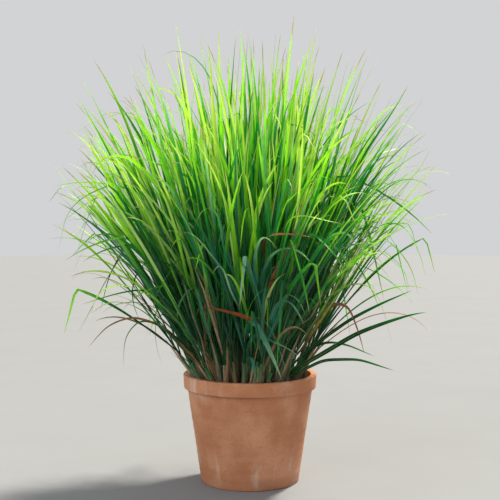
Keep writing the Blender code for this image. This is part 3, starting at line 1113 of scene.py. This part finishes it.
def pot_mesh(look):
    """The pot's body, turned by hand: faint rings and a slight unevenness above its foot."""
    rim_low = POT_HEIGHT - RIM_HEIGHT
    corners = [
        (0, 0),
        (POT_FOOT_RADIUS, 0),
        (pot_outer_radius(rim_low), rim_low),
        (POT_TOP_RADIUS - RIM_TAPER, rim_low),
        (POT_TOP_RADIUS, POT_HEIGHT),
        (pot_inner_radius(POT_HEIGHT), POT_HEIGHT),
        (pot_inner_radius(POT_FLOOR), POT_FLOOR),
        (0, POT_FLOOR),
    ]

    def hand_turned(place):
        if place.z <= POT_EVEN_FOOT:
            return place
        ring = math.sin(place.z * 2 * math.pi / look.ring_spacing + 2 * noise.noise(place * 6))
        outwards = Vector((place.x, place.y, 0)).normalized()
        return place + outwards * (look.ring_depth * ring + look.unevenness * noise.noise(place * 11))

    outline = divided(rounded(corners, look.edge), POT_STEP)
    return turned_mesh("pot_body", outline, POT_SIDES, hand_turned)


def drain_cutters():
    """Short pins that bore the drainage holes."""
    built = bmesh.new()
    for k in range(DRAIN_COUNT):
        place = level_direction(2 * math.pi * k / DRAIN_COUNT) * DRAIN_REACH + UP * POT_FLOOR / 2
        bmesh.ops.create_cone(
            built,
            cap_ends=True,
            segments=32,
            radius1=DRAIN_RADIUS,
            radius2=DRAIN_RADIUS,
            depth=3 * POT_FLOOR,
            matrix=Matrix.Translation(place),
        )
    return placed(mesh_from("drain_cutters", built))


def bore(piece, cutters):
    """Bores a piece with the cutters, which are then removed. The holes are part of its mesh."""
    holes = piece.modifiers.new("holes", "BOOLEAN")
    holes.object = cutters
    holes.operation = "DIFFERENCE"
    holes.solver = "EXACT"
    graph = bpy.context.evaluated_depsgraph_get()
    mesh = bpy.data.meshes.new_from_object(piece.evaluated_get(graph))
    if len(mesh.vertices) <= len(piece.data.vertices):
        raise RuntimeError("the holes weren't bored")
    piece.modifiers.clear()
    mesh.name = piece.name
    piece.data = mesh
    bpy.data.objects.remove(cutters)


class LEMONGRASS_OT_pot(bpy.types.Operator):
    """Turn the clay pot, with its rim band and its drainage holes"""

    bl_idname = "lemongrass.pot"
    bl_label = "Pot"

    def execute(self, context):
        look = context.scene.lemongrass_pot
        piece = show(pot_mesh(look), clay_finish(look), ["pot"])
        bore(piece, drain_cutters())
        piece.data.set_sharp_from_angle(angle=math.radians(45))
        return {"FINISHED"}


def soil_bump(x, y):
    """How far the soil's surface stands above its even mound."""
    place = Vector((x, y, 0))
    return sum(height * noise.noise(place * closeness) for height, closeness in SOIL_BUMPS)


def soil_mesh(edge):
    """The bed of soil, out to its edge against the pot, with a rough top."""
    low = POT_FLOOR + GAP
    chamfer = 0.0045  # clears the rounding where the pot's wall meets its floor
    outline = [
        (0, low),
        (pot_inner_radius(low) - chamfer, low),
        (pot_inner_radius(low + chamfer) - GAP, low + chamfer),
    ]
    for k in range(SOIL_ROWS, 0, -1):
        r = edge * k / SOIL_ROWS
        outline.append((r, soil_height(r, 0)))
    outline.append((0, soil_height(0, 0) + soil_bump(0, 0)))

    def roughened(place):
        if place.z < SOIL_LEVEL - 0.001 or math.hypot(place.x, place.y) > edge - 0.001:
            return place
        return place + UP * soil_bump(place.x, place.y)

    return turned_mesh("soil_bed", outline, SOIL_SIDES, roughened)


def strewn_place(reach, chance):
    """A place anywhere within reach of the pot's axis, at no height."""
    away = reach * math.sqrt(chance.random())
    return level_direction(chance.uniform(0, 2 * math.pi)) * away


def crumb_mesh(count, reach):
    """Crumbs of soil and bark, lying on the bed."""
    chance = random.Random(SEED + 3)
    built = bmesh.new()
    for _ in range(count):
        place = strewn_place(reach, chance)
        size = chance.uniform(*CRUMB_SIZE)
        if chance.random() < LARGE_CRUMBS[0]:
            size *= LARGE_CRUMBS[1]
        place.z = soil_height(place.x, place.y) + soil_bump(place.x, place.y) + 0.25 * size
        axis = Vector([chance.gauss(0, 1) for _ in range(3)]).normalized()
        shape = Matrix.LocRotScale(
            place,
            Quaternion(axis, chance.uniform(0, math.pi)),
            Vector((size * chance.uniform(0.8, 1.7), size, size * chance.uniform(0.45, 0.9))),
        )
        for corner in bmesh.ops.create_icosphere(built, subdivisions=1, radius=1.0)["verts"]:
            dent = 1 + 0.35 * noise.noise(corner.co * 1.7 + place * 500)
            corner.co = shape @ (corner.co * dent)
    mesh = mesh_from("soil_crumbs", built)
    mesh.shade_smooth()
    return mesh


class LEMONGRASS_OT_soil(bpy.types.Operator):
    """Fill the pot with soil, and strew crumbs over it"""

    bl_idname = "lemongrass.soil"
    bl_label = "Soil"

    def execute(self, context):
        look = context.scene.lemongrass_pot
        finish = soil_finish(look)
        edge = pot_inner_radius(SOIL_LEVEL) - 2 * GAP
        show(soil_mesh(edge), finish, ["soil"])
        show(crumb_mesh(look.crumbs, edge - 0.006), finish)
        return {"FINISHED"}


def litter_frames(chance):
    """The frames of a bit of dry leaf that lies, slightly bent, on the soil."""
    middle = strewn_place(LITTER_REACH[0], chance)
    length, bearing = chance.uniform(*LITTER_LENGTH), chance.uniform(0, math.pi)
    bend = chance.uniform(-9, 9)
    points = []
    for k in range(LITTER_RINGS):
        ahead = length * (k / (LITTER_RINGS - 1) - 0.5)
        point = middle + level_direction(bearing + bend * ahead) * ahead
        point *= min(1.0, LITTER_REACH[1] / max(math.hypot(point.x, point.y), GAP))
        lift = LITTER_LIFT[0] + LITTER_LIFT[1] * math.sin(k + middle.x * 900)
        point.z = soil_height(point.x, point.y) + lift
        points.append(point)
    points = np.array(points)
    ahead = directions_along(points)
    across = unit(np.cross(ahead, (0, 0, 1.0)))
    return points, across, np.cross(across, ahead)


class LEMONGRASS_OT_litter(bpy.types.Operator):
    """Strew bits of dry leaf over the soil"""

    bl_idname = "lemongrass.litter"
    bl_label = "Leaf litter"

    def execute(self, context):
        look = context.scene.lemongrass_plant
        chance = random.Random(SEED + 4)
        bunch = Bunch()
        for _ in range(context.scene.lemongrass_pot.litter):
            frames = litter_frames(chance)
            width, rust = chance.uniform(*LITTER_WIDTH), chance.uniform(0, 0.8)
            add_strip(bunch, frames, width, look.blade_thickness, rust, 1.0, clasp=LITTER_CLASP)
        show(bunch.mesh("leaf_litter"), blade_finish(look))
        return {"FINISHED"}


# The plant.


class LEMONGRASS_OT_stalks(bpy.types.Operator):
    """Raise the stalks, with their loose dry husks"""

    bl_idname = "lemongrass.stalks"
    bl_label = "Stalks"

    def execute(self, context):
        look = context.scene.lemongrass_plant
        finish = stalk_finish(look)
        chance = random.Random(SEED + 5)
        clusters, _ = plant_of(look)
        for number, cluster in enumerate(clusters, 1):
            bunch = Bunch()
            for shoot in cluster:
                add_stalk(bunch, shoot, chance)
                for _ in range(chance.choice(HUSK_COUNTS)):
                    add_husk(bunch, shoot, look, chance)
            show(bunch.mesh(f"stalks_{number:02d}"), finish, [f"stalk_{number:02d}"])
        return {"FINISHED"}


class LEMONGRASS_OT_blades(bpy.types.Operator):
    """Grow the green blades of every tiller and its offshoots"""

    bl_idname = "lemongrass.blades"
    bl_label = "Green blades"

    def execute(self, context):
        look = context.scene.lemongrass_plant
        finish = blade_finish(look)
        chance = random.Random(SEED + 6)
        clusters, _ = plant_of(look)
        for number, cluster in enumerate(clusters, 1):
            bunch = Bunch()
            for shoot in cluster:
                add_heart(bunch, shoot, chance)
                for blade in shoot.blades:
                    add_blade(bunch, blade, shoot, look, chance)
            show(bunch.mesh(f"blades_{number:02d}"), finish, [f"leaves_{number:02d}"])
        return {"FINISHED"}


class LEMONGRASS_OT_dry_leaves(bpy.types.Operator):
    """Hang the old dry leaves from the outer stalks"""

    bl_idname = "lemongrass.dry_leaves"
    bl_label = "Dry leaves"

    def execute(self, context):
        look = context.scene.lemongrass_plant
        finish = blade_finish(look)
        chance = random.Random(SEED + 7)
        _, dry_leaves = plant_of(look)
        for number, leaf in enumerate(dry_leaves, 1):
            bunch = Bunch()
            rust = chance.uniform(0.3, 0.75)
            thickness = look.blade_thickness
            add_strip(bunch, blade_frames(leaf), leaf.width, thickness, rust, 1.0, clasp=OLD_LEAF_CLASP)
            show(bunch.mesh(f"old_leaf_{number}"), finish, [f"dry_leaf_{number}"])
        return {"FINISHED"}


# The bent blades of the front.


@dataclass
class BentBlade:
    """A blade bent or broken in a way of its own, on the front of the plant. Lengths are in millimetres.

    Each point is across, above the soil and, where it isn't level with the other leaves, out in front.
    Its underside faces out until it bends over, turned by roll in degrees. A seed just above a multiple
    of 1 / SHADES makes it dark, and one just below, light, which partly paints shade and sunlight on it.
    """

    points: tuple
    width: float
    seed: float
    roll: float = 0
    dry: float = 0
    bloom: float = 0  # share of waxy bloom on its upper side, beside that on its underside; the bloom is partly a painted sky sheen
    easing: int = 10  # rounds of smoothing: few leave a crease


BENT_BLADES = (
    # In the middle: one folded over, and the hanging ones under it.
    BentBlade(
        (
            (45, 170, -20), (28, 250), (6, 327), (-8, 377), (-19, 406), (-16, 385, 15), (-24, 320, 20),
            (-33, 228, 15),
        ),
        width=12, roll=180, seed=0.94, bloom=1, easing=2,
    ),
    BentBlade(
        (
            (-25, 130, -60), (-12, 175, -15), (6, 205, 30), (28, 179, 60), (55, 118, 80), (88, 41, 88),
            (99, 8, 90),
        ),
        width=18, roll=170, seed=0.94, bloom=1, easing=6,
    ),
    BentBlade(
        ((-10, 120, -60), (20, 160, 20), (50, 142, 60), (105, 118, 80), (160, 80, 85)),
        width=12, roll=150, seed=0.94, bloom=1, easing=8,
    ),
    BentBlade(
        ((-10, 150, -60), (12, 205, 10), (30, 212, 30), (60, 184, 55), (88, 118, 70), (115, 25, 85)),
        width=8, roll=165, seed=0.93, bloom=1,
    ),
    BentBlade(
        ((0, 50, -60), (4, 85), (10, 78, 45), (16, 15, 65)),
        width=13, roll=180, seed=0.90, bloom=1, easing=6,
    ),
    # On the right: arches.
    BentBlade(
        ((50, 150), (75, 235, 60), (99, 268, 90), (126, 256, 100), (148, 223, 105), (165, 184, 105)),
        width=13, roll=160, seed=0.925, bloom=1,
    ),
    BentBlade(
        ((90, 220, 30), (112, 286, 70), (150, 263, 85), (170, 213, 85)),
        width=9, roll=160, seed=0.92, bloom=0.9,
    ),
    BentBlade(
        ((10, 370, -30), (30, 458, 20), (50, 464, 30), (72, 437, 35), (84, 410, 35)),
        width=9, roll=150, seed=0.93, bloom=0.9,
    ),
    BentBlade(
        ((30, 330, -40), (66, 405, 15), (99, 426, 30), (132, 423, 35), (170, 399, 35), (198, 355, 35)),
        width=9, roll=150, seed=0.93, bloom=0.9,
    ),
    BentBlade(
        ((170, 360), (235, 455, 40), (275, 476, 60), (302, 465, 60), (330, 426, 60)),
        width=9, roll=150, seed=0.93, bloom=0.9,
    ),
    BentBlade(
        ((130, 340, -30), (170, 460), (200, 470), (225, 440), (235, 400)),
        width=9, roll=35, seed=0.88,
    ),
    BentBlade(
        ((100, 450, -30), (120, 525), (170, 520), (240, 500), (300, 490)),
        width=8, roll=50, seed=0.93,
    ),
    BentBlade(
        ((120, 400, -30), (160, 600), (210, 660), (290, 600), (330, 520)),
        width=8, roll=45, seed=0.61,
    ),
    BentBlade(((170, 380, -30), (240, 550), (330, 600), (420, 550)), width=8, roll=45, seed=0.65),
    BentBlade(((180, 300, -30), (270, 420), (380, 440), (470, 370)), width=9, roll=45, seed=0.60),
    # On the right: two stiff, fading ones.
    BentBlade(
        ((150, 110), (236, 250, 110), (300, 360, 150), (366, 478, 150)),
        width=8, roll=60, seed=0.11, dry=0.42,
    ),
    BentBlade(
        ((170, 120), (262, 262, 110), (330, 360, 150), (398, 462, 150)),
        width=7, roll=60, seed=0.13, dry=0.36,
    ),
    # On the left: arches, and one folded over the others.
    BentBlade(
        (
            (-120, 140), (-145, 230, 20), (-165, 302, 30), (-187, 294, 40), (-209, 267, 45), (-221, 239, 45),
            (-225, 190, 40),
        ),
        width=12, roll=175, seed=0.93, bloom=1, easing=3,
    ),
    BentBlade(
        (
            (-60, 320, -40), (-99, 375, 15), (-143, 430, 40), (-172, 462, 50), (-192, 474, 50),
            (-215, 460, 50),
        ),
        width=11, roll=170, seed=0.93, bloom=1, easing=4,
    ),
    BentBlade(
        ((-60, 290, -30), (-80, 352, 20), (-96, 370, 45), (-108, 352, 55), (-120, 334, 55)),
        width=7, roll=170, seed=0.975, bloom=1, easing=3,
    ),
    BentBlade(
        ((-80, 400, -30), (-100, 540), (-130, 560), (-160, 520), (-170, 480)),
        width=9, roll=-30, seed=0.91,
    ),
    BentBlade(
        (
            (-180, 280), (-242, 372), (-297, 384), (-336, 362), (-358, 322), (-365, 278), (-355, 228),
            (-333, 184),
        ),
        width=8, roll=-40, seed=0.58, easing=6,
    ),
    BentBlade(
        ((-170, 100), (-245, 198), (-272, 222), (-288, 195), (-292, 151), (-284, 96), (-268, 60)),
        width=8, roll=-40, seed=0.02, easing=6,
    ),
    BentBlade(
        ((-170, 140), (-250, 240), (-285, 268), (-308, 206), (-322, 129)),
        width=8, roll=-40, seed=0.10, dry=0.3,
    ),
    BentBlade(
        ((-170, 90), (-270, 180), (-340, 200), (-385, 145), (-390, 55)),
        width=8, roll=-40, seed=0.16,
    ),
    BentBlade(
        ((-170, 140), (-240, 240), (-327, 294), (-419, 276), (-517, 245)),
        width=9, roll=-40, seed=0.02,
    ),
    BentBlade(((-150, 20), (-190, 55, 20), (-247, 100)), width=8, roll=-30, seed=0.29),
    # Low on the right: long and dark, over the rim.
    BentBlade(
        ((150, 50), (236, 100), (325, 154), (407, 186), (500, 216), (545, 222)),
        width=12, roll=40, seed=0.15,
    ),
    BentBlade(
        ((150, 80), (220, 135), (310, 200), (401, 247), (500, 290)),
        width=10, roll=40, seed=0.02,
    ),
    BentBlade(
        ((150, 60), (187, 112), (240, 130), (300, 120), (385, 84)),
        width=8, roll=40, seed=0.30,
    ),
    BentBlade(((160, 40), (225, 74), (335, 76), (446, 40)), width=8, roll=40, seed=0.17),
    BentBlade(
        ((220, 250), (300, 308), (357, 314), (401, 261), (418, 195), (437, 126)),
        width=8, roll=40, seed=0.95, dry=0.25,
    ),
)

BENT_DRY_BLADES = (
    BentBlade(
        ((110, 110, -90), (60, 160, -20), (6, 198, 45), (-30, 212, 60), (-71, 224, 65), (-150, 240, 65)),
        width=15, roll=37, seed=0.84, dry=1,
    ),
    BentBlade(
        ((50, 250, -30), (69, 316), (83, 355, 10), (99, 393, 10), (121, 424, 5), (140, 450)),
        width=16, seed=0.62, dry=1,
    ),
    BentBlade(
        ((30, 360, -170), (45, 445, -80), (72, 463, 5), (115, 463, 20), (165, 457, 20), (215, 448, 10)),
        width=13, roll=20, seed=0.60, dry=1,
    ),
    BentBlade(((-135, 60), (-150, 140), (-177, 209), (-208, 337)), width=5, seed=0.05, dry=1),
    BentBlade(
        ((170, 120), (250, 250), (300, 245), (322, 190), (340, 140), (352, 90)),
        width=10, roll=80, seed=0.54, dry=1,
    ),
    BentBlade(
        ((-160, 60), (-260, 175), (-360, 210), (-440, 180), (-500, 110)),
        width=8, roll=-40, seed=0.50, dry=1,
    ),
    BentBlade(((-100, 50), (-120, 130), (-135, 220)), width=6, seed=0.25, dry=1),
    BentBlade(((90, 50), (115, 130), (135, 210)), width=6, seed=0.3, dry=1),
    BentBlade(((190, 200), (230, 300), (280, 400)), width=7, seed=0.15, dry=1),
)


ROUND_REACH = (0.15, 0.60)  # the round of leaves: its radius at the soil, and how that grows with height
SHALLOWEST = 0.02  # the least square of the depth of a place on it
ROOT_BELOW = 0.05  # from where a bent blade leaves its stalk up to the height of its first point
LOWEST_ROOT = 0.3  # share of the stalk's height
LONG_START = 0.07  # the distance to a stalk from which the blade first follows the stalk's direction
BENT_STEPS = 44


def front_place(across, height, out=0):
    """The place on the front of the plant's round of leaves that looks, from the eye, to be this one."""
    across, height, out = across / 1000, height / 1000, out / 1000
    reach = ROUND_REACH[0] + ROUND_REACH[1] * height
    depth = out + math.sqrt(max(SHALLOWEST, reach**2 - across**2))
    nearer = 1 - depth / EYE_DISTANCE
    return np.array((across * nearer, -depth, EYE_HEIGHT + (SOIL_LEVEL + height - EYE_HEIGHT) * nearer))


def rooted(points, shoots):
    """The points with one or two more in front, so that the blade leaves the nearest stalk."""
    roots = []
    for shoot in shoots:
        direction = np.array(shoot.direction())
        foot = np.array(shoot.foot)
        up = (points[0] - foot) @ direction - ROOT_BELOW
        root = foot + direction * float(np.clip(up, LOWEST_ROOT * shoot.height, shoot.height))
        roots.append((np.linalg.norm(root - points[0]), root, direction))
    distance, root, direction = min(roots, key=lambda found: found[0])
    start = [root]
    if distance > LONG_START:
        start.append(root + direction * 0.3 * distance)
    return [*start, *points]


def eased_path(points, easing):
    """Even steps along the points, with the corners rounded: the more easing, the wider the bends."""
    points = np.array(points)
    length = np.concatenate([[0], np.cumsum(np.linalg.norm(np.diff(points, axis=0), axis=1))])
    steps = np.linspace(0, length[-1], BENT_STEPS)
    path = np.stack([np.interp(steps, length, points[:, k]) for k in range(3)], axis=-1)
    for _ in range(easing):
        path[1:-1] = (path[:-2] + 2 * path[1:-1] + path[2:]) / 4
    return path


def carried_frames(points, roll):
    """Frames along a path, with no more twist than the path gives them."""
    ahead = directions_along(points)
    side = unit(np.cross(ahead[0], points[-1] * (1, 1, 0)))
    side = side * math.cos(roll) + np.cross(ahead[0], side) * math.sin(roll)
    across = []
    for direction in ahead:
        side = unit(side - direction * (side @ direction))
        across.append(side)
    across = np.array(across)
    return points, across, np.cross(ahead, across)


def bent_bunch(blades, shoots, look):
    """A bunch of bent blades, each from the nearest of the shoots."""
    bunch = Bunch()
    for blade in blades:
        places = [front_place(*point) for point in blade.points]
        path = eased_path(rooted(places, shoots), blade.easing)
        frames = carried_frames(path, math.radians(blade.roll))
        width = blade.width / 1000 * look.breadth
        thickness = look.blade_thickness
        add_strip(bunch, frames, width, thickness, blade.seed, blade.dry, bloom=blade.bloom)
    return bunch


class LEMONGRASS_OT_bent_blades(bpy.types.Operator):
    """Add the bent, folded and broken blades of the front, green and dry"""

    bl_idname = "lemongrass.bent_blades"
    bl_label = "Bent blades"

    def execute(self, context):
        look = context.scene.lemongrass_plant
        finish = blade_finish(look)
        clusters, _ = plant_of(look)
        shoots = [shoot for cluster in clusters for shoot in cluster]
        show(bent_bunch(BENT_BLADES, shoots, look).mesh("bent_green_blades"), finish)
        show(bent_bunch(BENT_DRY_BLADES, shoots, look).mesh("bent_dry_blades"), finish)
        return {"FINISHED"}


# Floor, light and camera.

FLOOR_RADIUS = 14.0
KEY_DIRECTION = Vector((0.55, 0.70, 1.25))  # from the plant to the key light
KEY_COLOUR = (1.0, 0.96, 0.84)
FILL_PLACE = Vector((-2.3, -2.6, 2.2))
FILL_SIZE = 2.6
FILL_COLOUR = (0.95, 0.98, 1.0)
SKY_COLOUR = (0.98, 0.985, 1.0)


def new_light(kind, name, power, colour, **settings):
    """A light with these settings, in the scene."""
    light = bpy.data.lights.new(name, kind)
    light.energy = power
    light.color = colour
    for setting, value in settings.items():
        setattr(light, setting, value)
    return placed(light)


class LEMONGRASS_OT_stage(bpy.types.Operator):
    """Set up the floor, the soft light and the camera"""

    bl_idname = "lemongrass.stage"
    bl_label = "Stage"

    def execute(self, context):
        scene = context.scene
        look = scene.lemongrass_stage
        built = bmesh.new()
        bmesh.ops.create_circle(built, cap_ends=True, radius=FLOOR_RADIUS, segments=96)
        floor = placed(mesh_from("floor", built))
        floor.data.materials.append(floor_finish(look))

        middle = Vector((0, 0, CAD_BOX[1].z / 2))
        key = new_light("SUN", "key", look.key, KEY_COLOUR, angle=look.key_softness)
        key.rotation_euler = KEY_DIRECTION.to_track_quat("Z", "Y").to_euler()
        fill = new_light("AREA", "fill", look.fill, FILL_COLOUR, shape="DISK", size=FILL_SIZE)
        fill.location = FILL_PLACE
        fill.rotation_euler = (middle - FILL_PLACE).to_track_quat("-Z", "Y").to_euler()
        world = bpy.data.worlds.new("studio")
        world.use_nodes = True
        back = world.node_tree.nodes["Background"]
        back.inputs["Color"].default_value = (*SKY_COLOUR, 1)
        back.inputs["Strength"].default_value = look.sky
        scene.world = world
        scene.view_settings.view_transform = "Standard"

        camera = placed(bpy.data.cameras.new("camera"))
        camera.data.lens = camera.data.sensor_width * look.eye_distance / look.framed_height
        camera.location = (0, -look.eye_distance, look.eye_height)
        camera.rotation_euler = (middle - camera.location).to_track_quat("-Z", "Y").to_euler()
        scene.camera = camera
        return {"FINISHED"}


OPERATORS = (
    LEMONGRASS_OT_pot,
    LEMONGRASS_OT_soil,
    LEMONGRASS_OT_litter,
    LEMONGRASS_OT_stalks,
    LEMONGRASS_OT_blades,
    LEMONGRASS_OT_dry_leaves,
    LEMONGRASS_OT_bent_blades,
    LEMONGRASS_OT_stage,
)


class LEMONGRASS_PT_panel(bpy.types.Panel):
    """Lists the sizes, the colours and the pieces"""

    bl_idname = "LEMONGRASS_PT_panel"
    bl_label = "Lemongrass"
    bl_space_type = "VIEW_3D"
    bl_region_type = "UI"
    bl_category = "Lemongrass"

    def draw(self, context):
        for group in SETTINGS:
            settings = getattr(context.scene, group)
            box = self.layout.box()
            for name in settings.bl_rna.properties.keys():
                if name not in ("rna_type", "name"):
                    box.prop(settings, name)
        for operator in OPERATORS:
            self.layout.operator(operator.bl_idname)


CLASSES = (*SETTINGS.values(), *OPERATORS, LEMONGRASS_PT_panel)


def register():
    for made in CLASSES:
        bpy.utils.register_class(made)
    for group, settings in SETTINGS.items():
        setattr(bpy.types.Scene, group, bpy.props.PointerProperty(type=settings))


def unregister():
    for group in SETTINGS:
        delattr(bpy.types.Scene, group)
    for made in reversed(CLASSES):
        bpy.utils.unregister_class(made)


def main():
    register()
    bpy.ops.lemongrass.pot()
    bpy.ops.lemongrass.soil()
    bpy.ops.lemongrass.litter()
    bpy.ops.lemongrass.stalks()
    bpy.ops.lemongrass.blades()
    bpy.ops.lemongrass.dry_leaves()
    bpy.ops.lemongrass.bent_blades()
    bpy.ops.lemongrass.stage()


if __name__ == "__main__":
    main()
